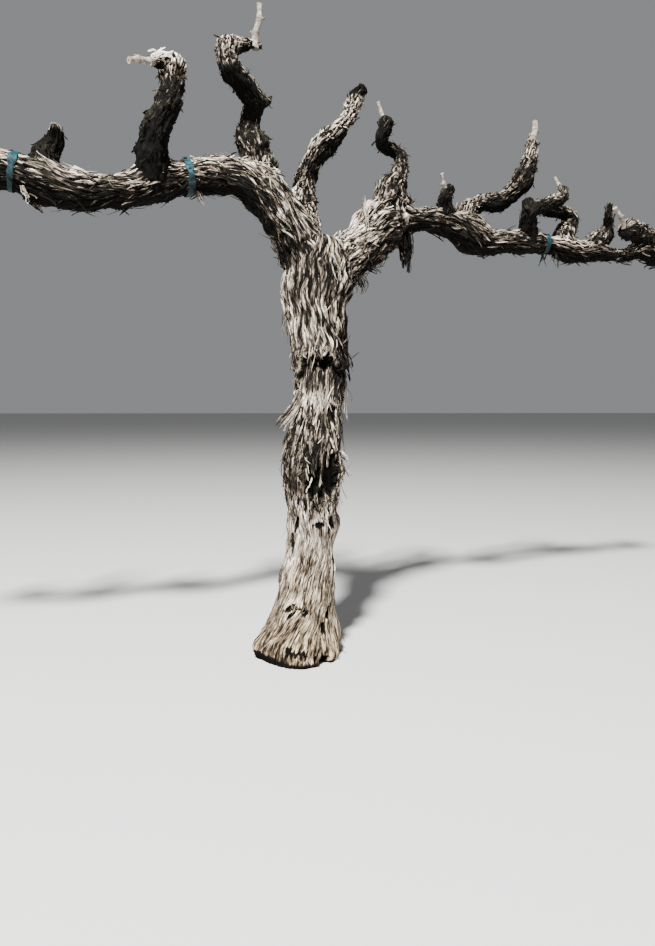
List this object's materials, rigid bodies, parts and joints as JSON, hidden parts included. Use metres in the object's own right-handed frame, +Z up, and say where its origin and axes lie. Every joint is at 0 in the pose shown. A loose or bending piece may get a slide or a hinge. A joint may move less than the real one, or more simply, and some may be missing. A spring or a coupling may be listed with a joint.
{
  "type": "grapevine",
  "caption": "Old bare grapevine: a thick shaggy trunk that forks into level arms with gnarled upright spurs, pruned back in winter.",
  "frame": {"origin": "on the flat cut under the trunk, at ground level, below the middle of the trunk's upper part", "axes": "+Z up, +X along the row of the arms towards the arm with the shorter reach between spurs, +Y to the back"},
  "size_m": [1.9978, 0.2025, 1.3676],
  "materials": {
    "bark": "shredded grey bark, dull and deeply furrowed",
    "cane": "dull grey-brown cut canes with darker nodes",
    "tie": "faded teal tape"
  },
  "bodies": {
    "root": {"trunk": "bark", "cordon_left_inner": "bark", "cordon_left_middle": "bark", "cordon_left_outer": "bark", "cordon_left_tip": "bark", "cordon_right_inner": "bark", "cordon_right_middle": "bark", "cordon_right_outer": "bark", "cordon_right_tip": "bark", "spur_centre": "bark", "spur_left_1": "bark", "spur_left_2": "bark", "spur_left_3": "bark", "spur_left_4": "bark", "spur_left_5": "bark", "spur_right_1": "bark", "spur_right_2": "bark", "spur_right_3": "bark", "spur_right_4": "bark", "spur_right_5": "bark", "spur_right_6": "bark", "spur_right_7": "bark", "cane_left_1": "cane", "cane_left_2": "cane", "cane_left_4": "cane", "cane_left_5": "cane", "cane_right_1": "cane", "cane_right_2": "cane", "cane_right_3": "cane", "cane_right_4": "cane", "cane_right_7": "cane", "tie_left_inner": "tie", "tie_left_outer": "tie", "tie_right": "tie"}
  },
  "joints": []
}
